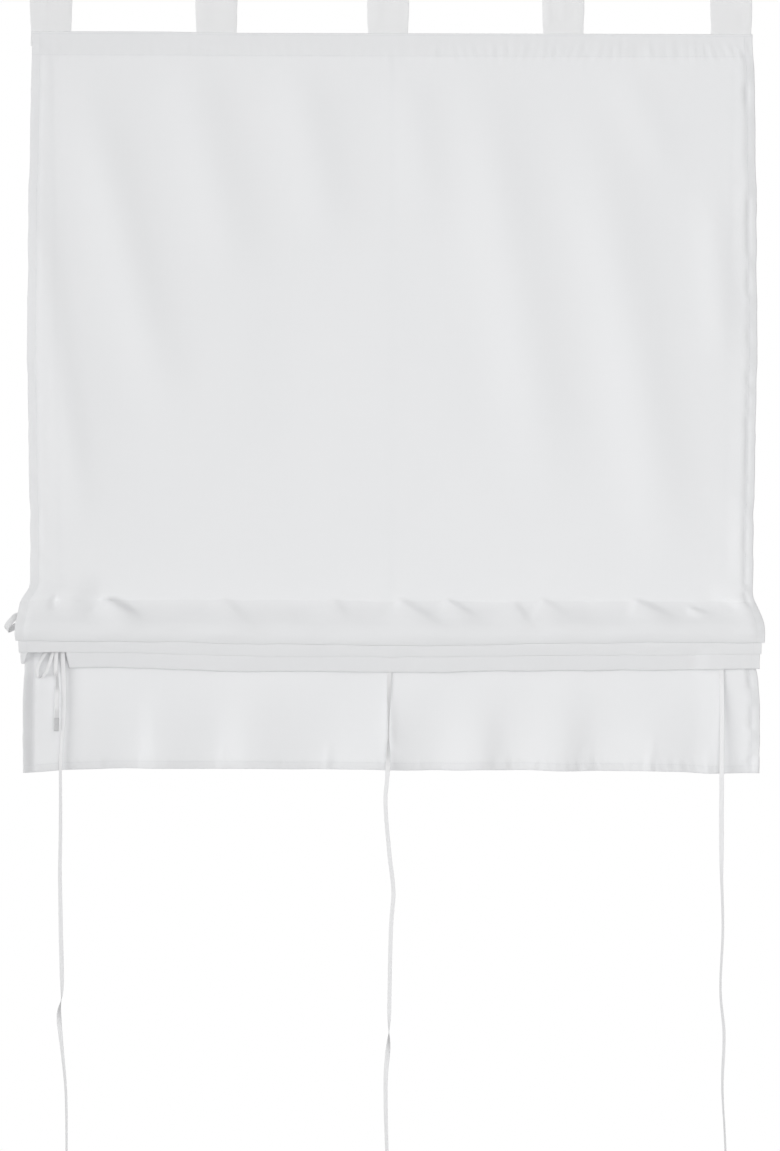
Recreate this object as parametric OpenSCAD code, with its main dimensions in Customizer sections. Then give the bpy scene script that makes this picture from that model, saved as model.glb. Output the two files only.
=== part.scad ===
// Tie-up blind: a hemmed voile panel on rod tabs, folded into three pleats that ribbons hold up
// The rod's axis is the X axis, +Z is up and the room side faces -Y

/* [Rod tabs] */
// Diameter of the rod that the tabs hang on
rod_d = 20; // [12:1:30]
// Play between the rod and a tab's loop, on the radius
rod_play = 0.5; // [0.2:0.1:1.5]
// Width of a tab
tab_w = 57; // [30:1:80]
// Thickness of a tab's cloth
tab_t = 1.2; // [0.8:0.1:2]
// Height of a tab's end behind the top hem
tongue_h = 16; // [8:1:24]
// Drop from the rod's axis to the panel's top edge
top_drop = 44.5; // [36:0.5:80]

/* [Panel] */
// Width across the top edge
panel_w = 976; // [700:2:1300]
// Drop from the top edge to the crease above the pleats
panel_drop = 766; // [500:2:1200]
// Thickness of the cloth
cloth_t = 0.8; // [0.6:0.1:1]
// Depth of the panel's soft waves
wave_depth = 7; // [0:0.5:12]
// Distance between two waves of the panel
wave_pitch = 190; // [140:5:300]
// How far the sides bow out at mid height
side_bow = 4; // [0:0.5:10]

/* [Hems] */
// Height of the top hem
top_hem = 31; // [26:1:50]
// Width of the side hems
side_hem = 15; // [8:1:30]
// Height of the bottom hem
bottom_hem = 12; // [6:1:30]
// Thickness that the turned-in cloth adds behind a hem
hem_t = 0.6; // [0.3:0.1:0.8]

/* [Pleats] */
// Drop from the crease to the lower edge of the front pleat
pleat_drop_1 = 56; // [48:1:62]
// Drop from the crease to the lower edge of the middle pleat
pleat_drop_2 = 72; // [66:1:84]
// Drop from the crease to the lower edge of the back pleat
pleat_drop_3 = 93; // [86:1:110]
// Radius of the front pleat's lower bend
pleat_bend_1 = 4; // [3.5:0.5:4.5]
// Radius of the middle pleat's lower bend
pleat_bend_2 = 3.5; // [3:0.5:4]
// Radius of the back pleat's lower bend
pleat_bend_3 = 3; // [2.5:0.5:3.5]
// How far the front pleat stands out from the panel
pleat_reach = 17; // [16:0.5:19]
// Radius of the rounded shoulder over which the front pleat falls
shoulder_r = 40; // [34:1:44]
// Height over which the front pleat hangs straight below its shoulder
shoulder_fall = 6; // [4:1:8]
// Distance from the middle of one pleat's bend to the next, front to back
pleat_pitch = 6.5; // [6:0.5:7]
// Radius of the ridges between pleats
ridge_r = 2; // [1.8:0.1:2.2]
// Step from one ridge down to the next
ridge_fall = 7.5; // [7:0.5:9]
// Step from one ridge back to the next
ridge_back = 5; // [4.5:0.5:6]
// How far each end of the pleats stands out past the top edge
pleat_flare = 15; // [0:1:25]
// How far the pleats sag at mid width
pleat_sag = 5; // [0:0.5:10]

/* [Flap] */
// Drop from the last ridge to the bottom edge
flap_drop = 208; // [140:2:300]
// How far each end of the flap stands out past the top edge
flap_flare = 11; // [0:1:25]
// Depth of the flap's soft waves
flap_wave_depth = 6; // [0:0.5:10]
// Distance between two waves of the flap
flap_wave_pitch = 118; // [100:2:200]
// Space behind the last pleat in which the ribbons are tied
tie_room = 9; // [8.5:0.5:14]

/* [Ribbons] */
// Width of the ribbons
ribbon_w = 6.5; // [4:0.5:8]
// Thickness of the ribbons
ribbon_t = 1.2; // [0.8:0.1:1.4]
// Distance from the panel's side to the outer ribbons
ribbon_inset = 40; // [30:1:80]
// How far the outer ribbons lean outwards at the top
ribbon_lean = 14; // [0:1:20]
// Outer diameter of the guide rings
ring_d = 12; // [11:0.5:14]
// Thickness of a guide ring's wire
ring_wire = 1.5; // [1:0.1:1.8]
// Length of the buttonholes in the last ridge
buttonhole_l = 11; // [9:0.5:16]
// Width of the buttonholes
buttonhole_w = 4; // [3:0.5:5]
// Diameter of the knots at the ribbons' ends
end_knot_d = 9; // [7:0.5:12]

/* [Hidden] */
$fn = 64;

// Gap left at sewn faces
seam = 0.1;
tab_count = 5;
// Height at which a tab's two legs part above the panel
tab_fork = 4;
// Angle by which a loop's arc runs into the legs
arc_lap = 3;
loop_r = rod_d / 2 + rod_play;
half_w = panel_w / 2;
top_z = -top_drop;
crease_z = top_z - panel_drop;
panel_back = cloth_t / 2;
hem_back = panel_back + hem_t;
ribbon_x = half_w - ribbon_inset;

// Rounded bends of the cloth in side view, from the crease to the last ridge, as [y, z, radius, turn]
crease_r = 6;
ridge_drop = 11;
ridge_gap = 1.5;
bend_y = pleat_bend_1 - pleat_reach;
front_bend_z = crease_z - pleat_drop_1 + pleat_bend_1;
ridge_1 = [1, crease_z - ridge_drop];
ridge_2 = ridge_1 + [ridge_back, -ridge_fall];
last_ridge_r = tie_room / 2;
last_ridge = ridge_2 + [ridge_r + ridge_gap + last_ridge_r, ridge_r - ridge_fall - last_ridge_r];
bends = [
    [-crease_r, crease_z, crease_r, -1],
    [shoulder_r - pleat_reach, front_bend_z + shoulder_fall, shoulder_r, 1],
    [bend_y, front_bend_z, pleat_bend_1, 1],
    [each ridge_1, ridge_r, -1],
    [bend_y + pleat_pitch, crease_z - pleat_drop_2 + pleat_bend_2, pleat_bend_2, 1],
    [each ridge_2, ridge_r, -1],
    [bend_y + 2 * pleat_pitch, crease_z - pleat_drop_3 + pleat_bend_3, pleat_bend_3, 1],
    [each last_ridge, last_ridge_r, -1],
];
bend_step = 40;
arc_step = 6;
flap_y = last_ridge[0] + last_ridge_r;
ridge_top = last_ridge[1] + last_ridge_r;
bottom_z = ridge_top - flap_drop;
stack_z = crease_z - pleat_drop_3;

// Rows of the cloth's net down the panel and the flap, and columns across
panel_rows = 12;
flap_rows = 6;
net_columns = 30;
hem_step = 0.6;

// Guide rings: one on the panel above the crease, one behind each of the first two ridges
ring_r = (ring_d - ring_wire) / 2;
ring_out = panel_back + seam + ring_d / 2;
ring_places = [
    [ring_out, crease_z + 20],
    ridge_1 + [ridge_r + ring_out, 0],
    ridge_2 + [ridge_r + ring_out, 0],
];

// Gap from a tab's end down to the ribbon's sewn end
ribbon_start = 2;

// Ribbon routes as [sideways from the ribbon's line, y, height from the crease]
tie_y = 13.5;
knot_z = -42;
ribbon_back = [[0, 3.2, 560], [0, 4.2, 400], [0, 5.2, 200], [0, 6.4, 20], [0, 8, 2], [0, 9.5, -10],
               [0, 13.2, -18.5], [0, 13.5, -26], [0, 13.5, -34], [0, 13.5, -50]];
tail_left = [[0, 13.5, -95], [0, 13, -150], [1, 13, -230], [1, 13, -300], [0, 13, -372], [1, 13, -440],
             [3, 13, -530], [-1, 13, -565], [4, 13, -620], [9, 13, -680], [10, 13, -780]];
tail_centre = [[-1, 13.5, -95], [-2, 13, -150], [-3, 13, -230], [-6, 13, -275], [-1, 13, -340], [5, 13, -395],
               [2, 13, -445], [0, 13, -545], [-1, 13, -600], [-5, 13, -660], [-2, 13, -780]];
tail_right = [[1, 13.5, -95], [2, 13, -150], [2, 13, -230], [2, 13, -300], [3, 13, -372], [5, 13, -450],
              [2, 13, -530], [7, 13, -590], [5, 13, -660], [8, 13, -720], [11, 13, -780]];

// Bow loops as [sideways, y, height], all from the middle of the knot
side_loop = [[-4.5, 0, 2.5], [-20, 0, 5], [-40, 0, 8], [-52, 0, 12], [-62, 0, 21], [-71, 0, 24],
             [-74, 0, 15], [-66, 0, 5], [-44, 0, 1], [-20, 0, 0.5], [-4.5, 0, 0.5]];
low_loop = [[-5, 0, -1], [-13, 0, -14], [-21, 0, -32], [-29, 0, -50], [-31, 0, -68],
            [-27, 0, -78], [-21, 0, -70], [-14, 0, -44], [-8.5, 0, -20], [-4.5, 0, -3]];
short_tail = [[-3, -2.4, -1], [-4, -2.4, -22], [-6, -2.4, -48], [-4, -2.4, -72], [-5, -2.4, -92],
              [-6, -2.4, -132]];
tucked_loop = [[-4.5, 0, 2], [-16, 0, 5], [-32, 0, 4], [-38, 0, -1], [-32, 0, -6], [-16, 0, -3], [-4.5, 0, 0]];
tucked_tail = [[-3, -2.4, -1], [-4, -2.4, -12], [-5, -2.4, -24]];
ribbon_sides = 8;

// Knot of a bow: how far it is wider than the ribbon, its depth and height, and its play round the ribbon
knot_wrap = 6;
knot_depth = 7.6;
knot_h = 9;
knot_play = 0.25;

// Smooth step from 0 to 1
function smooth(t) = let (c = max(0, min(1, t))) c * c * (3 - 2 * c);

// Angle brought into one turn
function one_turn(a) = a - 360 * floor(a / 360);

// Direction of the straight run of cloth from one bend to the next
function run_angle(a, b) =
    let (span = [b[0] - a[0], b[1] - a[1]])
    atan2(span[1], span[0]) - asin((b[3] * b[2] - a[3] * a[2]) / norm(span));

// Stations of the cloth round bend i, as [y, z, direction, hem]
function bend_stations(i) =
    let (b = bends[i],
         enter = i == 0 ? -90 : run_angle(bends[i - 1], b),
         leave = i == len(bends) - 1 ? -90 : run_angle(b, bends[i + 1]),
         sweep = b[3] * one_turn(b[3] * (leave - enter)),
         arc = b[2] * abs(sweep) * PI / 180,
         steps = ceil(max(abs(sweep) / bend_step, arc / arc_step)))
    [for (k = [0:steps])
        let (dir = enter + sweep * k / steps, at = dir - 90 * b[3])
        [b[0] + b[2] * cos(at), b[1] + b[2] * sin(at), dir, 0]];

// Stations down the whole cloth, from the top edge to the bottom edge
stations = [
    [0, top_z, -90, hem_t],
    [0, top_z - top_hem, -90, hem_t],
    for (k = [0:panel_rows - 1])
        [0, top_z - top_hem - hem_step - (panel_drop - top_hem) * k / panel_rows, -90, 0],
    for (i = [0:len(bends) - 1]) each bend_stations(i),
    for (k = [1:flap_rows])
        let (run = bottom_z + bottom_hem + hem_step - last_ridge[1])
        [flap_y, last_ridge[1] + run * k / flap_rows, -90, 0],
    [flap_y, bottom_z + bottom_hem, -90, hem_t],
    [flap_y, bottom_z, -90, hem_t],
];

// Columns across the cloth as [distance from the middle, hem]
inner_half = half_w - side_hem - hem_step;
columns = [
    [-half_w, hem_t],
    [-half_w + side_hem, hem_t],
    for (k = [0:net_columns]) [inner_half * (2 * k / net_columns - 1), 0],
    [half_w - side_hem, hem_t],
    [half_w, hem_t],
];

// The flare starts above the crease, widens to the front pleat's edge and narrows below it, over these heights
flare_start = 20;
flare_run = 60;
narrow_run = 20;

// Extra width on each side at height z
function flare(z) =
    side_bow * pow(sin(180 * max(0, min(1, (top_z - z) / panel_drop))), 2)
    + pleat_flare * smooth((crease_z + flare_start - z) / flare_run)
    - (pleat_flare - flap_flare) * smooth((crease_z - pleat_drop_1 - z) / narrow_run);

// Two sets of waves cross on the panel: the share of each, and the slant of their crests
main_share = 0.35;
cross_share = 0.15;
cross_pitch = 1.7 * wave_pitch;
wave_slant = 0.25;

// The panel's waves stand towards the room and die out at the hem and the crease
function panel_wave(x, z) =
    let (t = (top_z - top_hem - z) / (panel_drop - top_hem),
         swell = t <= 0 || t >= 1 ? 0 : pow(sin(180 * t), 2),
         lean = wave_slant * (z - top_z))
    -wave_depth * swell * (0.5 + main_share * sin(360 * (x + lean) / wave_pitch)
                           + cross_share * sin(360 * (x - lean) / cross_pitch));

// The flap's waves stand away from the room, so that the ribbons hang clear of it
function flap_wave(x, z) =
    flap_wave_depth * smooth((stack_z - z) / (stack_z - bottom_z))
    * (0.5 + 0.5 * sin(360 * x / flap_wave_pitch));

// The pleats sag at mid width, and the flap's bottom edge is straight again
function sag(x, z) =
    -pleat_sag * pow(cos(90 * max(-1, min(1, x / half_w))), 2)
    * (smooth((crease_z - z) / pleat_drop_1) - smooth((stack_z - z) / (stack_z - bottom_z)));

// Place of a point of the flat net in the hung cloth
function hung(across, y, z) =
    let (x = across * (1 + flare(z) / half_w))
    [x, y + panel_wave(x, z) + flap_wave(x, z), z + sag(x, z)];

// Front and back skins of the cloth
function skin(back) = [
    for (s = stations) for (c = columns)
        let (off = back ? panel_back + max(s[3], c[1]) : -panel_back)
        hung(c[0], s[0] + off * cos(s[2] + 90), s[1] + off * sin(s[2] + 90))
];

// Two triangles of a quad
function quad(a, b, c, d) = [[a, b, c], [a, c, d]];

module panel() {
    rows = len(stations);
    cols = len(columns);
    n = rows * cols;
    faces = [
        for (r = [0:rows - 2]) for (c = [0:cols - 2])
            let (a = r * cols + c) each concat(
                quad(a, a + 1, a + cols + 1, a + cols),
                quad(n + a, n + a + cols, n + a + cols + 1, n + a + 1)),
        for (r = [0:rows - 2]) let (a = r * cols, b = a + cols - 1) each concat(
            quad(a, a + cols, n + a + cols, n + a),
            quad(b, n + b, n + b + cols, b + cols)),
        for (c = [0:cols - 2]) let (a = c, b = (rows - 1) * cols + c) each concat(
            quad(a, n + a, n + a + 1, a + 1),
            quad(b, b + 1, n + b + 1, n + b)),
    ];
    color("whitesmoke") difference() {
        polyhedron(concat(skin(false), skin(true)), faces);
        for (side = [-1:1])
            translate([side * ribbon_x, last_ridge[0], ridge_top + sag(side * ribbon_x, ridge_top)])
                cube([buttonhole_l, buttonhole_w, last_ridge_r], center = true);
    }
}

// Angle at which a line from p touches a circle of radius r about the rod's axis
function touch(p, r, side) = atan2(p[1], p[0]) + side * acos(r / norm(p));

// Point at an angle about the rod's axis
function about_rod(r, a) = [r * cos(a), r * sin(a)];

// Side outline of a tab's piece, as wide as the tab
module tab_strip() {
    rotate([90, 0, 90]) linear_extrude(tab_w) children();
}

module tab(i) {
    front = hem_back + seam;
    outer_r = loop_r + tab_t;
    join_z = top_z + tab_fork;
    corners = [[front, join_z], [front + 2 * tab_t, join_z]];
    angles = [for (k = [0, 1]) touch(corners[k], outer_r, 2 * k - 1)];
    inside = [for (k = [0, 1]) corners[k] - about_rod(tab_t, angles[k])];
    foot_z = top_z - tongue_h;
    pitch = (panel_w - tab_w) / (tab_count - 1);
    color("white") translate([-half_w + pitch * (i - 1), 0, 0]) {
        tab_strip() difference() {
            circle(outer_r);
            circle(loop_r);
            polygon([[0, 0], about_rod(2 * outer_r, angles[0] + arc_lap), [0, -2 * outer_r],
                     about_rod(2 * outer_r, angles[1] - arc_lap)]);
        }
        for (k = [0, 1])
            tab_strip() polygon([about_rod(outer_r, angles[k]), corners[k], corners[k] - [0, tab_fork],
                                 inside[k] - [0, tab_fork], inside[k], about_rod(loop_r, angles[k])]);
        tab_strip() polygon([[front, foot_z], corners[0], inside[0], inside[1], corners[1],
                             [front + 2 * tab_t, foot_z]]);
    }
}

module guide_rings(side) {
    x = side * ribbon_x;
    color("gainsboro") for (p = ring_places)
        translate([x, p[0], p[1] + sag(x, p[1])])
            rotate_extrude() translate([ring_r, 0]) circle(d = ring_wire, $fn = 24);
}

// Flat tape swept along points, with its width along the given direction
module tape(points, wide) {
    n = len(points);
    m = ribbon_sides;
    rings = [for (k = [0:n - 1])
        let (ahead = points[min(k + 1, n - 1)] - points[max(k - 1, 0)],
             thick = cross(ahead, wide) / norm(cross(ahead, wide)))
        for (j = [0:m - 1])
            let (a = 360 * (j + 0.5) / m, grow = 1 / cos(180 / m))
            points[k] + grow * (wide * ribbon_w / 2 * cos(a) + thick * ribbon_t / 2 * sin(a))];
    sides = [for (k = [0:n - 2]) for (j = [0:m - 1])
        let (a = k * m + j, b = k * m + (j + 1) % m) each quad(a, a + m, b + m, b)];
    ends = [[for (j = [0:m - 1]) j], [for (j = [m - 1:-1:0]) (n - 1) * m + j]];
    polyhedron(rings, concat(sides, ends));
}

module ribbon(side, tail) {
    x = side * ribbon_x;
    start = [x + side * ribbon_lean, hem_back + seam + ribbon_t / 2, top_z - tongue_h - ribbon_start];
    route = concat([start], [for (p = concat(ribbon_back, tail))
        [x + p[0] + side * ribbon_lean * max(0, p[2]) / panel_drop, p[1], crease_z + p[2]]]);
    color("white") tape(route, [1, 0, 0]);
}

// Knot round the ribbon, with a slot that the ribbon runs through
module knot(p) {
    knot_w = ribbon_w + knot_wrap;
    translate(p) difference() {
        hull() for (sx = [-1, 1]) for (sz = [-1, 1])
            translate([sx * (knot_w - knot_depth) / 2, 0, sz * (knot_h - knot_depth) / 2])
                sphere(d = knot_depth, $fn = 16);
        cube([ribbon_w + 2 * knot_play, ribbon_t + 2 * knot_play, 2 * knot_h], center = true);
    }
}

module bow(side, loops, tail) {
    p = [side * ribbon_x, tie_y, crease_z + knot_z];
    color("white") {
        knot(p);
        for (path = loops)
            tape([for (q = path) p + q], [0, 1, 0]);
        tape([for (q = tail) p + q], [1, 0, 0]);
    }
}

module end_knot(side, tail) {
    last = tail[len(tail) - 1];
    color("white") translate([side * ribbon_x + last[0], last[1], crease_z + last[2] - end_knot_d / 2])
        sphere(d = end_knot_d);
}

function mirrored(path) = [for (q = path) [-q[0], q[1], q[2]]];

panel();
tab(1);  // tab_1
tab(2);  // tab_2
tab(3);  // tab_3
tab(4);  // tab_4
tab(5);  // tab_5
guide_rings(-1);  // guide_rings_left
guide_rings(0);  // guide_rings_centre
guide_rings(1);  // guide_rings_right
ribbon(-1, tail_left);  // ribbon_left
ribbon(0, tail_centre);  // ribbon_centre
ribbon(1, tail_right);  // ribbon_right
bow(-1, [side_loop, low_loop], short_tail);  // bow_left
bow(0, [tucked_loop, mirrored(tucked_loop)], tucked_tail);  // bow_centre
bow(1, [tucked_loop, mirrored(tucked_loop)], tucked_tail);  // bow_right
end_knot(-1, tail_left);  // end_knot_left
end_knot(0, tail_centre);  // end_knot_centre
end_knot(1, tail_right);  // end_knot_right
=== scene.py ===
import math

import bmesh
import bpy
import numpy as np
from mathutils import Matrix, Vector


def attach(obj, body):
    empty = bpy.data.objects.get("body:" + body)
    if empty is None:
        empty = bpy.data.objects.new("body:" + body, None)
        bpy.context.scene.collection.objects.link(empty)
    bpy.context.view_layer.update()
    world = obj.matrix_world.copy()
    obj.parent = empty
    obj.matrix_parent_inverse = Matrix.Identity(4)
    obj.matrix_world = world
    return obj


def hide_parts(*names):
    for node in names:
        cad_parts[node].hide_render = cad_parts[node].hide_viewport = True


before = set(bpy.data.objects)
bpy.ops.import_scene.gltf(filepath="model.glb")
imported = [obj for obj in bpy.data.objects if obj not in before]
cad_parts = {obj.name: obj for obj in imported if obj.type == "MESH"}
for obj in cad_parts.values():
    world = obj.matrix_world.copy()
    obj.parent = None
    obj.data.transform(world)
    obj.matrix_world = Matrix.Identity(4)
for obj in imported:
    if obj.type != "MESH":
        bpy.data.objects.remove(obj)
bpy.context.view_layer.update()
mm = 0.001  # shapes are worked out in millimetres, and meshes are made in metres
print("frame loaded:", len(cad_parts), "nodes")


# Shader and geometry nodes

class Wire:  # one output socket, so that sums on values read as plain expressions
    def __init__(self, graph, socket):
        self.graph = graph
        self.socket = socket

    def maths(self, operation, other=0.0, swapped=False):
        first, second = (other, self) if swapped else (self, other)
        return self.graph.wire("ShaderNodeMath", {0: first, 1: second}, operation=operation)

    def __add__(self, other):
        return self.maths("ADD", other)

    def __sub__(self, other):
        return self.maths("SUBTRACT", other)

    def __mul__(self, other):
        return self.maths("MULTIPLY", other)

    def __rsub__(self, other):
        return self.maths("SUBTRACT", other, True)

    __radd__ = __add__
    __rmul__ = __mul__


class Graph:  # a node tree that nodes are added to
    def __init__(self, tree):
        self.tree = tree

    def node(self, kind, sockets=(), **settings):
        made = self.tree.nodes.new(kind)
        for name, value in settings.items():
            setattr(made, name, value)
        for name, value in dict(sockets).items():
            if isinstance(value, Wire):
                self.tree.links.new(value.socket, made.inputs[name])
            elif isinstance(value, bpy.types.Node):
                self.tree.links.new(value.outputs[0], made.inputs[name])
            else:
                made.inputs[name].default_value = value
        return made

    def wire(self, kind, sockets=(), out=0, **settings):
        return Wire(self, self.node(kind, sockets, **settings).outputs[out])

    def mixColour(self, factor, first, second):
        return self.wire("ShaderNodeMix", {0: factor, 6: first, 7: second}, 2, data_type="RGBA")

    def noise(self, vector, scale, detail=2.0):  # with a scale for each axis
        place = self.wire("ShaderNodeVectorMath", {0: vector, 1: scale}, operation="MULTIPLY")
        return self.wire("ShaderNodeTexNoise", {"Vector": place, "Scale": 1.0, "Detail": detail})

    def bump(self, height, strength, depth):
        return self.node("ShaderNodeBump", {"Strength": strength, "Distance": depth, "Height": height})

    def woven(self, look, colour, rough, bump):  # a face that lets a share of the light through
        face = self.node("ShaderNodeBsdfPrincipled", {
            "Base Color": colour, "Roughness": rough, "Sheen Weight": look["sheen"], "Normal": bump})
        through = self.node("ShaderNodeBsdfTranslucent", {"Color": colour, "Normal": bump})
        return self.node("ShaderNodeMixShader", {0: look["translucency"], 1: face, 2: through})

    def shownAs(self, shader):
        self.node("ShaderNodeOutputMaterial", {"Surface": shader})


def newMaterial(name):
    material = bpy.data.materials.new(name)
    material.use_nodes = True
    material.node_tree.nodes.clear()
    return material, Graph(material.node_tree)


def placed(name, data):  # a new object in the scene
    made = bpy.data.objects.new(name, data)
    bpy.context.scene.collection.objects.link(made)
    return made


# Camera, at the photograph's distance and height

photo = {
    "framePx": (780, 1151),
    "loopAxisPx": (390.5, 1.6),  # where the middle of the tabs' loops lies
    "mmPerPx": 1.354,
    "distanceMm": 3500,
    "rollDeg": 0.15,
    "sensorMm": 36,
    "farM": 50,
}


def makeCamera():
    widePx, highPx = photo["framePx"]
    rightMm = (widePx / 2 - photo["loopAxisPx"][0]) * photo["mmPerPx"]
    downMm = (highPx / 2 - photo["loopAxisPx"][1]) * photo["mmPerPx"]
    data = bpy.data.cameras.new("photoCamera")
    data.sensor_width = photo["sensorMm"]
    data.lens = photo["sensorMm"] * photo["distanceMm"] / (highPx * photo["mmPerPx"])
    data.clip_end = photo["farM"]
    camera = placed("photoCamera", data)
    camera.location = (rightMm * mm, -photo["distanceMm"] * mm, -downMm * mm)
    camera.rotation_euler = (math.pi / 2, -math.radians(photo["rollDeg"]), 0)
    bpy.context.scene.camera = camera


makeCamera()
print("camera placed")


# Finishes

voile = {
    "threadPitch": 0.55 * mm, "opacity": 0.99, "translucency": 0.05, "rough": 0.85, "sheen": 0.08,
    "warpNoise": (900, 9, 1), "weftNoise": (9, 900, 1), "cloudNoise": (7, 5, 1),
    "thread": (0.958, 0.962, 0.97, 1), "slub": (0.915, 0.925, 0.94, 1), "relief": (0.35, 0.08 * mm),
}
# the tabs' voile is a lighter copy of the panel's voile: painted light, making up for the lamp light that the
# tabs' downward-leaning faces miss
tabVoilePaintedLight = {**voile, "thread": (0.985, 0.987, 0.99, 1), "slub": (0.955, 0.96, 0.97, 1)}
tape = {
    "width": 6.5, "ribPitch": 0.8 * mm, "cordPitch": 1.1 * mm, "slubNoise": (1200, 25, 1),
    "translucency": 0.15, "rough": 0.62, "sheen": 0.15,
    "colour": (0.975, 0.975, 0.98, 1), "groove": (0.90, 0.905, 0.915, 1), "relief": (0.5, 0.12 * mm),
}
# a darker grey for the end of the left bow's short tail: painted shade, standing in for the shade on the
# tail's twisted end
paintedShadeEndLook = {"noise": 700, "detail": 3.0, "rough": 0.5, "relief": (0.4, 0.2 * mm),
        "colours": ((0.74, 0.74, 0.75, 1), (0.58, 0.58, 0.59, 1)), "more": {}}
# grey-blue thread: the white thread's own colour, darkened and blued as painted shade that stands in for the
# shade of the puckers at the stitches
threadLookWithPaintedShade = {"noise": 2600, "detail": 1.0, "rough": 0.55, "relief": (0.4, 0.05 * mm),
          "colours": ((0.86, 0.87, 0.885, 1), (0.74, 0.76, 0.785, 1)), "more": {"Sheen Weight": 0.2}}
moulding = {"noise": 180, "detail": 3.0, "grain": 2400, "rough": 0.28, "roughVaries": 0.2,
            "relief": (0.15, 0.04 * mm), "colours": ((0.90, 0.90, 0.885, 1), (0.82, 0.82, 0.80, 1)),
            "more": {"Subsurface Weight": 0.2, "Subsurface Scale": 0.001}}


def voileFinish(name, weave):
    material, g = newMaterial(name)
    cut = g.wire("ShaderNodeUVMap", uv_map="cut")  # metres on the flat cloth
    axes = g.node("ShaderNodeSeparateXYZ", {0: cut})
    turn = math.pi / weave["threadPitch"]
    warp = (Wire(g, axes.outputs[0]) * turn).maths("SINE")
    weft = (Wire(g, axes.outputs[1]) * turn).maths("SINE")
    over = warp * weft  # plain weave: one thread over, one under
    slub = (g.noise(cut, weave["warpNoise"]) + g.noise(cut, weave["weftNoise"])) * 0.5
    cloud = g.noise(cut, weave["cloudNoise"], 3.0)
    shade = (slub - 0.5) * 0.5 + (cloud - 0.5) * 0.5 + 0.4
    colour = g.mixColour(shade, weave["thread"], weave["slub"])
    bump = g.bump(over * 0.5 + slub, *weave["relief"])
    threads = g.woven(weave, colour, weave["rough"], bump)
    gaps = g.node("ShaderNodeBsdfTransparent", {"Color": (1, 1, 1, 1)})
    cover = (slub - 0.5) * 0.05 + over * 0.01 + weave["opacity"]
    g.shownAs(g.node("ShaderNodeMixShader", {0: cover, 1: gaps, 2: threads}))
    return material


def ribbonFinish():
    material, g = newMaterial("wovenRibbon")
    run = g.wire("ShaderNodeUVMap", uv_map="cut")  # metres across and along the ribbon
    axes = g.node("ShaderNodeSeparateXYZ", {0: run})
    across = Wire(g, axes.outputs[0])
    along = Wire(g, axes.outputs[1])
    rib = (along * (2 * math.pi / tape["ribPitch"])).maths("SINE")
    cord = (across * (2 * math.pi / tape["cordPitch"])).maths("SINE")
    slub = g.noise(run, tape["slubNoise"])
    middle = (across - 0.5 * tape["width"] * mm).maths("ABSOLUTE")
    selvedge = middle.maths("GREATER_THAN", 0.42 * tape["width"] * mm)  # firmer woven edge
    shade = (slub - 0.5) * 0.9 + rib * 0.07 + cord * 0.07 + selvedge * 0.1 + 0.25
    colour = g.mixColour(shade, tape["colour"], tape["groove"])
    bump = g.bump(rib * 0.3 + cord * 0.25 + slub + selvedge * 0.4, *tape["relief"])
    g.shownAs(g.woven(tape, colour, (slub - 0.5) * 0.2 + tape["rough"], bump))
    return material


def mottledFinish(name, look):  # one noise for the colour, and for the relief unless that has its own
    material, g = newMaterial(name)
    place = g.wire("ShaderNodeTexCoord", out=3)  # object coordinates
    mottle = g.noise(place, [look["noise"]] * 3, look["detail"])
    grain = g.noise(place, [look["grain"]] * 3, 1.0) if "grain" in look else mottle
    rough = mottle * look["roughVaries"] + look["rough"] if "roughVaries" in look else look["rough"]
    g.shownAs(g.node("ShaderNodeBsdfPrincipled", {
        "Base Color": g.mixColour(mottle, *look["colours"]), "Roughness": rough,
        "Normal": g.bump(grain, *look["relief"]), **look["more"]}))
    return material


voileMaterial = voileFinish("voile", voile)
# the tabs get the lighter copy of the voile, as painted light
tabPaintedLightMaterial = voileFinish("tabVoileWithPaintedLight", tabVoilePaintedLight)
ribbonMaterial = ribbonFinish()
# darker grey material for the tail's end: painted shade
paintedShadeEndMaterial = mottledFinish("paintedShadeTailEnd", paintedShadeEndLook)
# thread colour partly its own and partly painted pucker shade
threadWithPaintedShadeMaterial = mottledFinish("sewingThreadPaintedShade", threadLookWithPaintedShade)
ringMaterial = mottledFinish("milkyPlastic", moulding)
print("finishes made")


# Mesh helpers

def meshPiece(name, points, faces, uvs, material):
    mesh = bpy.data.meshes.new(name)
    mesh.from_pydata((np.asarray(points) * mm).tolist(), [], faces)
    layer = mesh.uv_layers.new(name="cut")
    corners = np.zeros(len(mesh.loops), dtype=np.int32)
    mesh.loops.foreach_get("vertex_index", corners)
    layer.data.foreach_set("uv", (np.asarray(uvs) * mm)[corners].ravel())
    mesh.polygons.foreach_set("use_smooth", [True] * len(mesh.polygons))
    mesh.materials.append(material)
    return placed(name, mesh)


def facesOutward(piece, weld=0):  # faces are turned out, after points closer than weld are merged
    work = bmesh.new()
    work.from_mesh(piece.data)
    if weld:
        bmesh.ops.remove_doubles(work, verts=work.verts, dist=weld)
    bmesh.ops.recalc_face_normals(work, faces=work.faces)
    work.to_mesh(piece.data)
    work.free()


def softStep(t):
    c = np.clip(t, 0, 1)
    return c * c * (3 - 2 * c)


def ramp(v, start, over):  # rises softly from 0 to 1 from a start on, or falls up to it if over is negative
    return softStep((v - start) / over)


def hump(v, middle, half):
    return np.exp(-((v - middle) / half) ** 2)


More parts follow.
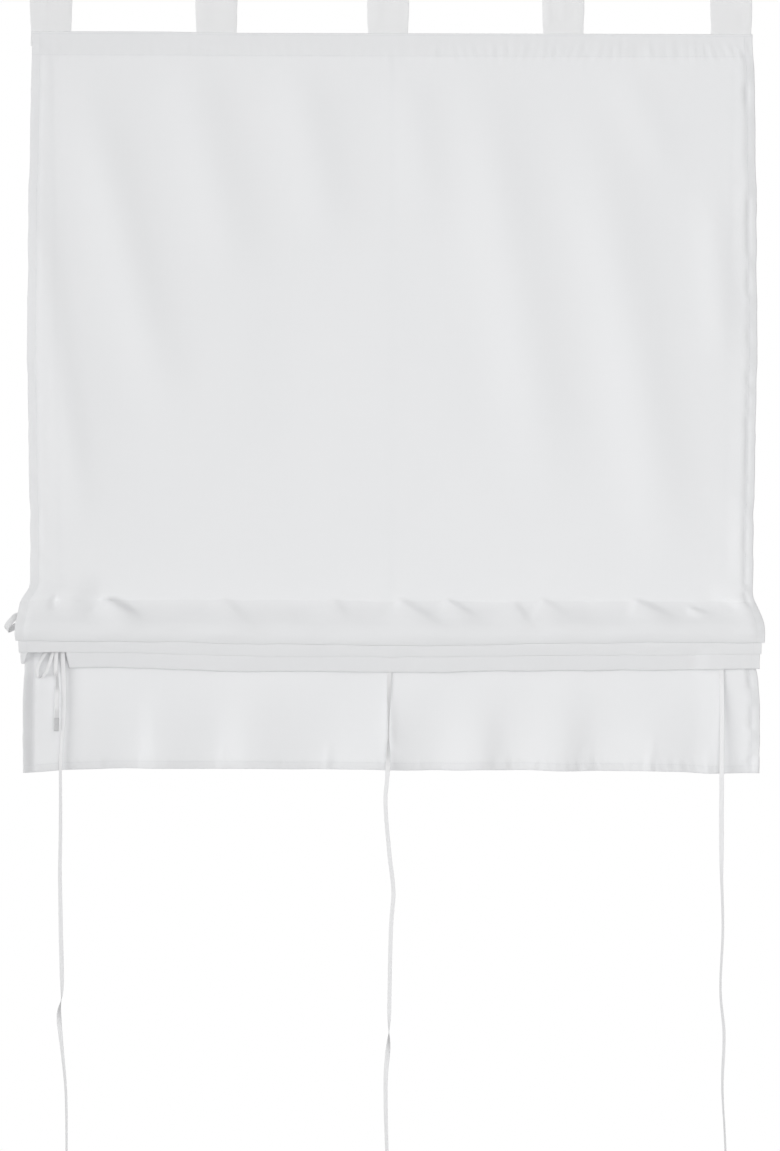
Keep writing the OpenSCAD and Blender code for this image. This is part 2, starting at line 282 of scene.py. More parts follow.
def softNoise(x, z, pitchX, pitchZ, seed):  # smooth noise from -1 to 1 on a lattice
    size = 64
    lattice = np.random.default_rng(seed).uniform(-1, 1, (size, size))
    gx, gz = np.asarray(x) / pitchX, np.asarray(z) / pitchZ
    ix, iz = np.floor(gx).astype(int), np.floor(gz).astype(int)
    fx, fz = softStep(gx - ix), softStep(gz - iz)
    left, right, near, far = ix % size, (ix + 1) % size, iz % size, (iz + 1) % size
    upper = lattice[left, near] * (1 - fx) + lattice[right, near] * fx
    lower = lattice[left, far] * (1 - fx) + lattice[right, far] * fx
    return upper * (1 - fz) + lower * fz


def lengthAlong(route):  # distance from the start of a route to each of its points
    return np.concatenate([[0], np.cumsum(np.linalg.norm(np.diff(route, axis=0), axis=1))])


def evenRoute(points, count):  # a route cut into even steps, and the distance along it
    run = lengthAlong(points)
    even = np.linspace(0, run[-1], count)
    return np.stack([np.interp(even, run, points[:, k]) for k in range(3)], axis=1), even


def smoothRoute(points, step):  # one curve through given points, cut into even steps
    p = np.asarray(points, float)
    p = np.vstack([2 * p[0] - p[1], p, 2 * p[-1] - p[-2]])
    t = np.linspace(0, 1, 24, endpoint=False)[:, None]
    out = [0.5 * (2 * b + (c - a) * t + (2 * a - 5 * b + 4 * c - d) * t ** 2
                  + (3 * b - a - 3 * c + d) * t ** 3) for a, b, c, d in zip(p, p[1:], p[2:], p[3:])]
    fine = np.vstack(out + [p[-2:-1]])
    return evenRoute(fine, max(3, int(lengthAlong(fine)[-1] / step) + 1))


def keyed(at, keys):  # a value read between keys of place and value
    places, values = zip(*keys)
    return np.interp(at, places, values)


def sweptTape(route, run, wide, width, thick, turns=None, half=5, ripple=None):
    # a flat tape along a route: wide is its width's direction, turns twist it about the route
    n = len(route)
    ahead = np.gradient(route, axis=0)
    ahead /= np.linalg.norm(ahead, axis=1)[:, None]
    side = np.broadcast_to(np.asarray(wide, float), (n, 3))
    side = side - (side * ahead).sum(1)[:, None] * ahead
    side /= np.linalg.norm(side, axis=1)[:, None]
    face = np.cross(ahead, side)
    if turns is not None:
        c, s = np.cos(turns)[:, None], np.sin(turns)[:, None]
        side, face = c * side + s * face, c * face - s * side
    over = np.sin(np.linspace(-math.pi / 2, math.pi / 2, 2 * half + 1))  # closer points at the edges
    body = np.sqrt(np.clip(1 - over ** 6, 0, 1))
    across = np.concatenate([over, over[-2:0:-1]])
    lift = np.concatenate([body, -body[-2:0:-1]])
    m = len(across)
    swell = np.zeros((n, m)) if ripple is None else ripple(run[:, None], across[None, :] * width / 2)
    points = (route[:, None, :] + across[None, :, None] * width / 2 * side[:, None, :]
              + (lift[None, :, None] * thick / 2 + swell[:, :, None]) * face[:, None, :])
    uvs = np.stack(np.broadcast_arrays((across[None, :] + 1) * width / 2, run[:, None]), axis=2)
    faces = []
    for k in range(n - 1):
        for j in range(m):
            faces.append((k * m + j, (k + 1) * m + j, (k + 1) * m + (j + 1) % m, k * m + (j + 1) % m))
    faces.append(tuple(range(m)))
    faces.append(tuple((n - 1) * m + j for j in range(m - 1, -1, -1)))
    return points.reshape(-1, 3), faces, uvs.reshape(-1, 2)


def joined(parts):  # several point, face and uv sets as one
    points, faces, uvs, start = [], [], [], 0
    for p, f, uv in parts:
        points.append(p)
        uvs.append(uv)
        faces += [tuple(i + start for i in face) for face in f]
        start += len(p)
    return np.vstack(points), faces, np.vstack(uvs)


# The hung cloth: a flat net carried down the panel, round the pleats and down the flap

halfWidth, panelDrop = 488, 766
cloth = {
    "topZ": -44.5, "topHem": 31, "sideHem": 15, "bottomHem": 12, "hemGap": 0.8,
    "pleatDrops": (56, 72, 93), "pleatBends": (4, 3.5, 3), "pleatReach": 17, "pleatPitch": 6.5,
    "shoulderRadius": 40, "shoulderFall": 6,
    "creaseRadius": 6, "ridgeRadius": 2, "ridgeDrop": 11, "ridgeFall": 7.5, "ridgeBack": 5,
    "ridgeGap": 1.5, "tieRoom": 9, "flapDrop": 208,
    "sideBow": 4, "pleatFlare": 17, "flapFlare": 11, "pleatSag": 5,
    "flapWave": 7.5, "swell": 3.5, "wave": 0.8, "pleatInsets": (0, 4, 7), "flapTaper": 3.5,
}
net = {  # steps of the flat net, and how far its finer parts reach
    "panel": 7.5, "crease": 3.0, "ply": 5.0, "flap": 3.6, "hem": 2.6, "across": 3.8, "side": 3.2, "edge": 0.5,
    "topTurn": 4, "lowTurn": 3.7, "sideTurn": 4.6, "bend": 8,
    "topReach": 46, "creaseReach": 36, "hemReach": 30,
}
bendPoints = 24
creaseZ = cloth["topZ"] - panelDrop
stackZ = creaseZ - cloth["pleatDrops"][2]
bendY = cloth["pleatBends"][0] - cloth["pleatReach"]
ridgeOne = (1, creaseZ - cloth["ridgeDrop"])
ridgeTwo = (ridgeOne[0] + cloth["ridgeBack"], ridgeOne[1] - cloth["ridgeFall"])
lastRadius = cloth["tieRoom"] / 2
lastRidge = (ridgeTwo[0] + cloth["ridgeRadius"] + cloth["ridgeGap"] + lastRadius,
             ridgeTwo[1] + cloth["ridgeRadius"] - cloth["ridgeFall"] - lastRadius)
flapY = lastRidge[0] + lastRadius
ridgeTop = lastRidge[1] + lastRadius
bottomZ = ridgeTop - cloth["flapDrop"]


def clothBends():  # rounded bends in side view as y, z, radius and turn
    frontZ = creaseZ - cloth["pleatDrops"][0] + cloth["pleatBends"][0]
    shoulder = cloth["shoulderRadius"]
    bends = [(-cloth["creaseRadius"], creaseZ, cloth["creaseRadius"], -1),
             (shoulder - cloth["pleatReach"], frontZ + cloth["shoulderFall"], shoulder, 1)]
    ridges = [(*ridgeOne, cloth["ridgeRadius"], -1), (*ridgeTwo, cloth["ridgeRadius"], -1),
              (*lastRidge, lastRadius, -1)]
    for k, (drop, radius) in enumerate(zip(cloth["pleatDrops"], cloth["pleatBends"])):
        bends.append((bendY + k * cloth["pleatPitch"], creaseZ - drop + radius, radius, 1))
        bends.append(ridges[k])
    return bends


def runAngle(a, b):
    dy, dz = b[0] - a[0], b[1] - a[1]
    return math.atan2(dz, dy) - math.asin((b[3] * b[2] - a[3] * a[2]) / math.hypot(dy, dz))


def clothRun():  # fine stations down the cloth: distance, y, z and direction, and the marks along it
    down = -math.pi / 2
    bends = clothBends()
    rows = [(0.0, cloth["topZ"], down)]
    ends = []
    for i, (y, z, radius, turn) in enumerate(bends):
        enter = down if i == 0 else runAngle(bends[i - 1], bends[i])
        leave = down if i == len(bends) - 1 else runAngle(bends[i], bends[i + 1])
        enter += 2 * math.pi * round((rows[-1][2] - enter) / (2 * math.pi))
        sweep = turn * ((turn * (leave - enter)) % (2 * math.pi))
        first = len(rows)
        for k in range(bendPoints + 1):
            heading = enter + sweep * k / bendPoints
            at = heading - turn * math.pi / 2
            rows.append((y + radius * math.cos(at), z + radius * math.sin(at), heading))
        ends.append((first, len(rows) - 1))
    rows.append((flapY, bottomZ, rows[-1][2]))
    table = np.array(rows)
    distance = np.concatenate([[0], np.cumsum(np.hypot(np.diff(table[:, 0]), np.diff(table[:, 1])))])
    return distance, table, [(distance[a], distance[b]) for a, b in ends]


runLength, runTable, bendMarks = clothRun()
clothLength = runLength[-1]
flapStart = bendMarks[-1][1]
ridgeMiddle = sum(bendMarks[-1]) / 2

# Soft folds that hang from the top hem, as x and drop of both ends, half width and depth
drapes = [
    (-474, 250, -424, 620, 24, 5.0), (-405, 110, -312, 460, 34, 6.6), (-272, 60, -212, 300, 38, 5.4),
    (-128, 60, -84, 260, 36, 4.6), (22, 70, 50, 230, 34, 3.4), (122, 100, 206, 560, 42, 5.6),
    (272, 170, 366, 660, 42, 6.2), (315, 60, 366, 170, 26, 2.2), (428, 230, 440, 420, 22, 3.0),
    (478, 640, 486, 740, 20, 2.5),
]
drapeFade = 0.25  # share of a drape's length that it fades over at each end
# Tucks that run down from the crease over the front pleat, steep on their right:
# x, start below the crease, length, slant, half width and depth
tucks = [
    (-374, -1, 34, 1.6, 10, 10), (-224, 2, 48, 1.15, 16, 3.2), (-75, 2, 34, 0.6, 14, 2.4),
    (13, 1, 48, 1.4, 14, 4.2), (76, 1, 30, 1.6, 9, 3.6), (164, 4, 44, 0.5, 13, 3.2),
    (202, 2, 28, 1.4, 14, 3.2), (327, 1, 32, 1.7, 13, 4.6), (397, 10, 12, 2.4, 5, 3.4),
]
tuckShape = {"rise": (-0.12, 0.2), "fall": (1, -0.75), "right": 0.5, "left": 1.9}
# Dimples where a ring's thread pulls at the crease:
# x, drop below the crease, half width, half height and depth
dimples = [(-443, 4, 5.5, 9, 4.2), (-430, 12, 18, 16, 2.0), (453, 7, 9, 7, 1.6), (2, 3, 10, 8, 1.2)]
creaseEnds = [(-385, -40, 9.0), (425, 40, 6.0)]  # where the crease runs out: x, width and depth
# Folds that stand up from the bottom hem, as x, height, half width and depth
hemDarts = [
    (-224, 50, 5, 2.2), (-84, 48, 5.5, 2.4), (-330, 34, 6, 1.4), (344, 62, 6, 2.6), (150, 36, 6, 1.4),
    (262, 40, 6, 1.8), (40, 30, 5, 1.2), (420, 46, 7, 2.2),
]
# Puckers and turned edges of the hems. A pair gives the start and width of a ramp.
topPull = {"above": 8, "reach": 13, "left": 0.35, "right": (-60, 300), "pitch": 13, "depth": 0.45}
sidePull = {
    "reach": 13, "depth": 0.5, "fade": 20, "grooveIn": 11, "grooveHalf": 3.4, "grooveShare": (0.55, 0.9),
    "grooves": {-1: (1.3, 24, 16), 1: (2.2, 15, 17)},  # depth, pitch and seed, left and right
    "turned": {-1: 1.0, 1: 2.2}, "turnIn": 18, "turnBend": 1.3,
}
flapEdge = {
    "dartLean": 0.06, "curl": 9, "curlIn": 15, "skirt": 3.5, "skirtFrom": 432, "skirtOver": 38,
    "seam": 0.7, "reach": 8, "pitch": 12, "share": 0.6, "left": 0.3, "middle": (-60, 120, 0.25),
    "right": (250, 150, 0.45), "turnBack": 2.6, "turnOver": 14,
    "corner": 1.5, "cornerAcross": (452, 18), "cornerUp": (34, -20),
}
# Noise on the cloth, as depth, pitch across, pitch down and seed
unevenness = {
    "panel": (0.8, 70, 240, 3), "topPhase": (0.9, 50, 60, 5), "topHem": (0.6, 8, 26, 6),
    "sideHem": (0.8, 16, 15, 7), "front": (0.9, 38, 30, 9), "flap": (0.8, 46, 120, 11),
    "lowShare": (0.4, 90, 90, 12), "lowPhase": (0.8, 45, 60, 13), "lowHem": (0.7, 9, 30, 14),
    "corner": (3.2, 9, 10, 15), "edgeFine": (0.8, 26, 26, 21), "edgeLong": (0.8, 110, 110, 22),
    "plies": (1.1, 70, 60, 23), "pliesFine": (0.6, 24, 60, 24), "bottom": (0.9, 60, 60, 25),
}
# The flap's ridges and hollows in turn, from the left
flapFolds = (-427, -339, -312, -234, -190, -93, -14, 60, 117, 158, 225, 273, 349, 440, 500)


def alongLine(a, s, x0, s0, x1, s1):  # share along a line on the cloth, and distance from it
    dx, ds = x1 - x0, s1 - s0
    length = math.hypot(dx, ds)
    share = ((a - x0) * dx + (s - s0) * ds) / length ** 2
    return share, ((a - x0) * ds - (s - s0) * dx) / length


def uneven(name, a, s):
    depth, across, down, seed = unevenness[name]
    return depth * softNoise(a, s, across, down, seed)


def panelFolds(a, s):  # the panel's swell, and the drapes that hang from the top hem
    hang = np.clip((s - cloth["topHem"]) / (panelDrop - cloth["topHem"]), 0, 1)
    belly = np.sin(math.pi * hang)
    off = -cloth["swell"] * belly ** 2 - belly * (cloth["wave"] + uneven("panel", a, s))
    for x0, s0, x1, s1, half, depth in drapes:
        share, gap = alongLine(a, s, x0, s0, x1, s1)
        fade = ramp(share, -drapeFade, 2 * drapeFade) * ramp(share, 1 + drapeFade, -2 * drapeFade)
        off = off - depth * fade * hump(gap, 0, half)
    return off


def topPuckers(a, s):  # at the top hem's stitching, stronger on the right
    p = topPull
    strong = p["left"] + (1 - p["left"]) * ramp(a, *p["right"])
    waves = 1 + np.sin(2 * math.pi * (a / p["pitch"] + uneven("topPhase", a, s)))
    near = hump(s, cloth["topHem"] - p["above"], p["reach"])
    return -near * strong * (p["depth"] * waves + uneven("topHem", a, s))


def sidePuckers(a, s):  # along the side hems, which lie calm between the pleats
    p, half, fade = sidePull, halfWidth, sidePull["fade"]
    calm = 1 - ramp(s, bendMarks[1][1], 12) * ramp(s, flapStart + 30, -30)
    near = hump(np.abs(a), half - cloth["sideHem"], p["reach"])
    off = -near * (p["depth"] + uneven("sideHem", a, s)) * ramp(s, 0, fade) * calm
    for side, (depth, pitch, seed) in p["grooves"].items():
        share, varies = p["grooveShare"]
        pulled = softStep(share + varies * softNoise(s, s, pitch, pitch, seed))
        groove = hump(side * a, half - p["grooveIn"], p["grooveHalf"])
        off = off + depth * groove * pulled * calm * ramp(s, fade, fade)
    for side, depth in p["turned"].items():
        out = np.clip((side * a - half + p["turnIn"]) / p["turnIn"], 0, 1) ** p["turnBend"]
        still = calm if side > 0 else ramp(s, panelDrop - fade, -fade)
        off = off + depth * out * still * ramp(s, fade / 2, 2 * fade)
    return off


def pleatTucks(a, s):  # the front pleat's tucks, and the pull of the rings' threads at the crease
    drop, p = panelDrop, tuckShape
    front = ramp(s, drop - 4, 6) * ramp(s, bendMarks[2][0] + 4, -12)
    off = -front * uneven("front", a, s)
    for x, start, length, slant, half, depth in tucks:
        share, gap = alongLine(a, s, x, drop + start, x + length * slant, drop + start + length)
        fade = ramp(share, *p["rise"]) * ramp(share, *p["fall"])
        off = off - front * depth * fade * hump(gap, 0, half * np.where(gap > 0, p["right"], p["left"]))
    for x, below, half, high, depth in dimples:
        off = off + depth * hump(a, x, half) * hump(s, drop + below, high)
    # towards the sides the panel runs into the front pleat with hardly a crease
    ease = sum(depth * ramp(a, x, over) for x, over, depth in creaseEnds)
    return off - ease * hump(s, drop + 2, 26)


def flapRelief(a, s):  # the flap's folds from the hem, its left side turned forward, and the hem's puckers
    p, low = flapEdge, clothLength - s
    flap = ramp(s, flapStart + 30, 60)
    off = flap * uneven("flap", a, s)
    for x, height, half, depth in hemDarts:
        off = off - flap * depth * ramp(low, height, -height) * hump(a, x + p["dartLean"] * low, half)
    curl = ramp(-a, halfWidth - p["curlIn"], p["curlIn"])
    skirt = np.clip((-a - p["skirtFrom"]) / p["skirtOver"], 0, 1)
    off = off - flap * (p["curl"] * curl + p["skirt"] * skirt)
    strong = p["left"] + sum(more * ramp(a, x, over) for x, over, more in (p["middle"], p["right"]))
    waves = 1 + np.sin(2 * math.pi * (a / p["pitch"] + uneven("lowPhase", a, s)))
    puckers = (p["share"] + uneven("lowShare", a, s)) * strong * waves + uneven("lowHem", a, s)
    off = off + hump(low, p["seam"] * cloth["bottomHem"], p["reach"]) * puckers
    off = off + p["turnBack"] * np.clip(1 - low / p["turnOver"], 0, 1) ** 2
    corner = ramp(a, *p["cornerAcross"]) * ramp(low, *p["cornerUp"])
    return off + corner * (p["corner"] + uneven("corner", a, s))


def rumple(a, s):  # how far the cloth stands back from its plain run, at x and distance down
    return sum(part(a, s) for part in (panelFolds, topPuckers, sidePuckers, pleatTucks, flapRelief))


def flare(z, s):  # the pleats stand out at the sides, each less than the one before it
    t = np.clip((cloth["topZ"] - z) / panelDrop, 0, 1)
    first, second, third = cloth["pleatInsets"]
    middles = [sum(bendMarks[k]) / 2 for k in (2, 4)]
    inset = np.interp(s, (middles[0], bendMarks[3][0], middles[1], bendMarks[5][0]),
                      (first, second, second, third))
    bowed = cloth["sideBow"] * np.sin(math.pi * t) ** 2
    stack = bowed + cloth["pleatFlare"] * ramp(z, creaseZ + 20, -60) - inset
    flap = cloth["flapFlare"] - cloth["flapTaper"] * ramp(z, stackZ - 60, 60)
    return np.where(s < ridgeMiddle, stack, flap)


leaning = {"right": 3.2, "rightStack": 2.6, "crease": 5.0, "leftStack": 1.5}


def sideLean(a, z):  # the right side stands out along the panel and the flap, the left at the crease
    p = leaning
    stack = ramp(z, creaseZ + 20, -20) * ramp(z, stackZ - 10, 20)
    right = ramp(z, cloth["topZ"], -50) * (p["right"] - p["rightStack"] * stack)
    left = p["crease"] * hump(z, creaseZ - 1, 15) + p["leftStack"] * (stack - ramp(z, stackZ, -60))
    return ramp(a, 0, halfWidth) * right - ramp(a, 0, -halfWidth) * left


forward = {"depth": 10, "lowerLess": 0.7, "rightMore": 0.35, "right": (400, 40), "below": 50, "over": 40}


def flapForward(a, z):  # the flap comes forward, close behind the pleats, and less so lower down
    p = forward
    share = 1 - p["lowerLess"] * ramp(z, stackZ, bottomZ - stackZ) + p["rightMore"] * ramp(a, *p["right"])
    return p["depth"] * share * ramp(z, creaseZ - p["below"], -p["over"])


pressing = {"from": (20, 25), "roundFrom": 40, "roundBack": 5, "gap": 0.6, "recede": 0.42,
            "recedeRight": 0.30, "right": (400, 25), "rear": 6, "thin": 0.65, "thinFrom": (40, 50)}
# Left of this place the third pleat is drawn up, all but its outer end
drawnUp = {"below": 35, "share": 0.4, "from": (-426, -3.5), "outer": (-479, -4), "outerShare": 0.72}


def drawnZ(a, z, s):
    p = drawnUp
    share = p["share"] * ramp(a, *p["from"]) * (1 - p["outerShare"] * ramp(a, *p["outer"]))
    third = (s > bendMarks[5][1]) & (s < bendMarks[7][0])
    top = creaseZ - p["below"]
    return np.where(third & (z < top), top + (z - top) * (1 - share), z)


def tuckedUnder(z, drawn):  # the drawn-up pleat lies as close behind the middle one as it does higher up
    edge = creaseZ - cloth["pleatDrops"][1]
    return pressing["recede"] * (np.maximum(0, edge - z) - np.maximum(0, edge - drawn))


def pressed(a, y, z, s):  # the pleats lie close at the stack's lower edge, and their fronts recede downwards
    p, below = pressing, creaseZ - z
    reach, pitch, radius = cloth["pleatReach"], cloth["pleatPitch"], cloth["ridgeRadius"]
    drops, bends = cloth["pleatDrops"], cloth["pleatBends"]
    blend = ramp(below, *p["from"])
    recede = p["recede"] + (p["recedeRight"] - p["recede"]) * ramp(a, *p["right"])
    cuts = [np.full(np.broadcast(y, z).shape, -float(reach))]
    rounding = np.clip((below - p["roundFrom"]) / (drops[0] - p["roundFrom"]), 0, 1) ** 2
    places = [cuts[0] + p["roundBack"] * rounding]
    front = -reach + p["roundBack"]
    for k, ridge in ((1, ridgeOne), (2, ridgeTwo)):
        top, foot = creaseZ - ridge[1], drops[k] - bends[k]
        line = np.interp(below, (top, foot), (ridge[0] + radius, bendY + k * pitch - bends[k]))
        front = front + p["gap"]
        close = front + recede * np.maximum(0, below - drops[k - 1])
        cuts.append(line)
        places.append(line + blend * (close - line))
        front = front + recede * (drops[k] - drops[k - 1])
    cuts.append(cuts[2] + p["rear"])
    places.append(places[2] + p["rear"] * (1 - p["thin"] * ramp(below, *p["thinFrom"])))
    out = y + places[0] - cuts[0]
    for k in range(3):
        share = (y - cuts[k]) / (cuts[k + 1] - cuts[k])
        out = np.where(y > cuts[k], places[k] + share * (places[k + 1] - places[k]), out)
    out = np.where(y > cuts[3], y + places[3] - cuts[3], out)
    folded = (below > p["from"][0]) & (s < ridgeMiddle)
    return np.where(folded, out, np.where(s < ridgeMiddle, y, y - flapForward(a, z)))


# How far the bottom hem hangs lower at its corners and higher between, and the top hem stands higher
edgeLine = {"leftLow": 3.5, "left": (-425, -60), "rightLow": 3.0, "right": (330, 120),
            "middleHigh": 1.5, "middleFrom": (-440, 80), "middleTo": (60, -120),
            "topHigh": 1.6, "top": (46, -46), "topLeft": (-180, -160)}


def hung(a, s, off):  # place of a point of the flat net, lifted off its run by off
    y = np.interp(s, runLength, runTable[:, 0])
    z = np.interp(s, runLength, runTable[:, 1])
    heading = np.interp(s, runLength, runTable[:, 2])
    y = y + off * np.cos(heading + math.pi / 2)
    z = z + off * np.sin(heading + math.pi / 2)
    drawn = drawnZ(a, z, s)
    y = pressed(a, y, z, s) - tuckedUnder(z, drawn) + rumple(a, s)
    z = drawn
    edge = np.sign(a) * np.clip(np.abs(a) / halfWidth, 0, 1) ** 10
    wobble = edge * (uneven("edgeFine", s, s) + uneven("edgeLong", s, s))
    x = a * (1 + flare(z, s) / halfWidth) + wobble + sideLean(a, z)
    lowness = ramp(z, stackZ, bottomZ - stackZ)
    fold = np.interp(a, flapFolds, math.pi * np.arange(len(flapFolds)))
    y = y + cloth["flapWave"] * lowness ** 1.1 * (0.5 - 0.5 * np.cos(fold))
    middle = np.cos(math.pi / 2 * np.clip(x / halfWidth, -1, 1)) ** 2
    z = z - cloth["pleatSag"] * middle * (ramp(z, creaseZ, -cloth["pleatDrops"][0]) - lowness)
    folded = ramp(s, panelDrop - 30, 30) * ramp(s, flapStart + 20, -20)
    z = z + folded * (uneven("plies", a, s) + uneven("pliesFine", a, s)) + lowness * uneven("bottom", a, a)
    p = edgeLine
    corners = p["leftLow"] * ramp(a, *p["left"]) + p["rightLow"] * ramp(a, *p["right"])
    z = z - lowness * (corners - p["middleHigh"] * ramp(a, *p["middleFrom"]) * ramp(a, *p["middleTo"]))
    z = z + p["topHigh"] * ramp(s, *p["top"]) * (1 + ramp(a, *p["topLeft"]))
    return np.stack([x, y, z], axis=-1)


def foldedBack(flat, edge):  # place on the face, and share of the turn, of cloth turned in at an edge
    over = flat - edge
    return edge - np.abs(over), softStep((over + 0.35) / 0.7)


def evenCuts(*runs):  # distances from several runs of start, end and step
    cuts = [np.linspace(a, b, max(2, int(math.ceil((b - a) / step)) + 1))[:-1] for a, b, step in runs]
    return np.concatenate(cuts + [[runs[-1][1]]])


def clothRows():
    drop, end = panelDrop, clothLength
    fine, coarse = net["topReach"], drop - net["creaseReach"]
    runs = [(-cloth["topHem"], -1, net["topTurn"]), (-1, 1, net["edge"]), (1, fine, net["crease"]),
            (fine, coarse, net["panel"]), (coarse, drop, net["crease"])]
    for k, (start, stop) in enumerate(bendMarks):
        runs.append((start, stop, (stop - start) / net["bend"]))
        following = bendMarks[k + 1][0] if k + 1 < len(bendMarks) else end - net["hemReach"]
        runs.append((stop, following, net["crease"] if k < 2 else net["ply"] if k < 7 else net["flap"]))
    return evenCuts(*runs, (end - net["hemReach"], end - 1, net["hem"]), (end - 1, end + 1, net["edge"]),
                    (end + 1, end + cloth["bottomHem"], net["lowTurn"]))


def clothColumns():
    half, hem = halfWidth, cloth["sideHem"]
    inner = half - hem - 2
    right = [(inner, half - 1, net["side"]), (half - 1, half + 1, net["edge"]),
             (half + 1, half + hem, net["sideTurn"])]
    left = [(-b, -a, step) for a, b, step in right[::-1]]
    return evenCuts(*left, (-inner, inner, net["across"]), *right)


buttonhole = {"length": 11, "width": 4, "places": (-448, 0, 448), "margin": (1.2, 1), "square": 6,
              "points": 120, "zigzag": (0.94, 1.28), "lift": 0.2, "stitch": (0.8, 1.1, 0.4)}


def makePanel():
    rows, columns = clothRows(), clothColumns()
    across, sideTurn = foldedBack(np.abs(columns), halfWidth)
    across = across * np.sign(columns)
    upper, topTurn = foldedBack(-rows, 0)
    lower, lowTurn = foldedBack(rows, clothLength)
    down = np.abs(np.where(rows < 0, upper, np.where(rows > clothLength, lower, rows)))
    a, s = np.meshgrid(across, down)
    turned = sideTurn[None, :] + np.maximum(topTurn, lowTurn)[:, None]
    points = hung(a, s, cloth["hemGap"] * turned)
    uvs = np.stack(np.meshgrid(columns, -rows), axis=-1)
    n, m = len(rows), len(columns)
    inHole = np.zeros((n, m), bool)
    for x in buttonhole["places"]:
        along, wide = np.abs(a - x), np.abs(s - ridgeMiddle)
        inHole |= (along < buttonhole["length"] / 2) & (wide < buttonhole["width"] / 2)
    faces = []
    for r in range(n - 1):
        for c in range(m - 1):
            if inHole[r, c] or inHole[r + 1, c + 1]:
                continue
            i = r * m + c
            faces.append((i, i + m, i + m + 1, i + 1))
    piece = meshPiece("voilePanel", points.reshape(-1, 3), faces, uvs.reshape(-1, 2), voileMaterial)
    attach(piece, "root")
    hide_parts("panel")
    print("panel:", n, "rows,", m, "columns,", len(faces), "faces")
    return piece


voilePanel = makePanel()


# Tabs: doubled strips made into loops, their ends sewn behind the top hem

tab = {"count": 5, "width": 57, "thick": 1.1, "loopRadius": 10.5, "tongue": 16, "fork": 4, "front": 1.4,
       "drawnIn": 0.045, "drawnOver": 14, "turnOut": 0.0003, "sewn": 24, "ease": 14, "points": 90, "arc": 40,
       "broad": (0.5, 19, 30), "fine": (0.35, 7, 44), "edge": (0.5, 14, 40),  # ripples: depth and pitches
       "offPlace": (-0.7, -7.4, -5.4, 1.4, -1.6)}  # sewn a little off their even places


def tabRoute():
    t, front, top = tab["thick"], tab["front"], cloth["topZ"]
    radius = tab["loopRadius"] + t / 2
    joinZ = top + tab["fork"]
    legs = [(front + t / 2, joinZ), (front + 1.5 * t + 0.05, joinZ)]
    angles = [math.atan2(z, y) + side * math.acos(radius / math.hypot(y, z))
              for (y, z), side in zip(legs, (-1, 1))]
    footZ = top - tab["tongue"]
    swing = np.linspace(angles[0], angles[1] - 2 * math.pi, tab["arc"])
    points = [(0, legs[0][0], footZ), (0, legs[0][0], (footZ + joinZ) / 2), (0, legs[0][0], joinZ)]
    points += [(0, radius * math.cos(a), radius * math.sin(a)) for a in swing]
    points += [(0, legs[1][0], joinZ), (0, legs[1][0], (footZ + joinZ) / 2), (0, legs[1][0], footZ)]
    return evenRoute(np.array(points, float), tab["points"])


def makeTabs():
    made = []
    pitch = (2 * halfWidth - tab["width"]) / (tab["count"] - 1)
    route, run = tabRoute()
    for i in range(tab["count"]):
        middle = -halfWidth + tab["width"] / 2 + pitch * i + tab["offPlace"][i]

        def ripple(along, across, seed=31 + i):
            free = ramp(along, tab["sewn"], tab["ease"]) * ramp(along, run[-1] - tab["sewn"], -tab["ease"])
            rows = ((*tab["broad"], seed), (*tab["fine"], seed + 9))
            return free * sum(row[0] * softNoise(across, along, *row[1:]) for row in rows)

        points, faces, uvs = sweptTape(route, run, (1, 0, 0), tab["width"], tab["thick"], None, 14, ripple)
        # the rear leg is drawn in a little and turned outwards
        depth = points[:, 1] + tab["loopRadius"]
        points[:, 0] *= 1 - tab["drawnIn"] * ramp(depth, 0, tab["drawnOver"])
        points[:, 0] += middle * (1 + tab["turnOut"] * depth)
        stray, high, wide = tab["edge"]
        points[:, 0] += stray * softNoise(points[:, 2], points[:, 0], high, wide, 51 + i)
        piece = meshPiece(f"rodTab{i + 1}", points, faces, uvs, tabPaintedLightMaterial)
        facesOutward(piece)
        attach(piece, "root")
        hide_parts(f"tab_{i + 1}")
        made.append(piece)
    print("tabs:", len(made))
    return made


rodTabs = makeTabs()


# Ribbons: sewn behind the top hem, down the back, through the buttonholes, tied, and hanging in front

ribbon = {"width": tape["width"], "thick": 0.7, "inset": 40, "lean": 14, "startY": 1.7, "startZ": -62.5,
          "step": 3.0, "eased": 15, "ripple": (0.25, 34, 8, 61), "cupped": 0.10}
tieY, knotZ = 13.5, -42
# Route points: sideways from the ribbon's line, y, and height from the crease
ribbonBack = [(0, 3.2, 560), (0, 4.2, 400), (0, 5.2, 200), (0, 6.4, 20), (0, 8, 2), (0, 9.5, -10),
              (0, 13.2, -18.5), (0, 13.5, -26), (0, 13.5, -34), (0, 13.5, -50)]
tails = {
    "left": [(4, 13.5, -70), (4.6, 13.5, -82), (6, 13, -110), (6, 13, -150), (3, 13, -190), (1, 13, -230),
             (1, 13, -300), (0, 13, -372), (1, 13, -440), (3, 13, -530), (-1, 13, -565), (4, 13, -620),
             (9, 13, -680), (10, 13, -780)],
    "centre": [(0, 13.5, -70), (-0.5, 13.5, -82), (-1, 13.5, -95), (-2, 13, -150), (-3, 13, -230),
               (-6, 13, -275), (-1, 13, -340), (5, 13, -395), (2, 13, -445), (0, 13, -545), (-1, 13, -600),
               (-5, 13, -660), (-2, 13, -780)],
    "right": [(0, 13.5, -70), (0.5, 13.5, -82), (1, 13.5, -95), (2, 13, -150), (2, 13, -230), (2, 13, -300),
              (3, 13, -372), (5, 13, -450), (2, 13, -530), (7, 13, -590), (5, 13, -660), (8, 13, -720),
              (11, 13, -780)],
}
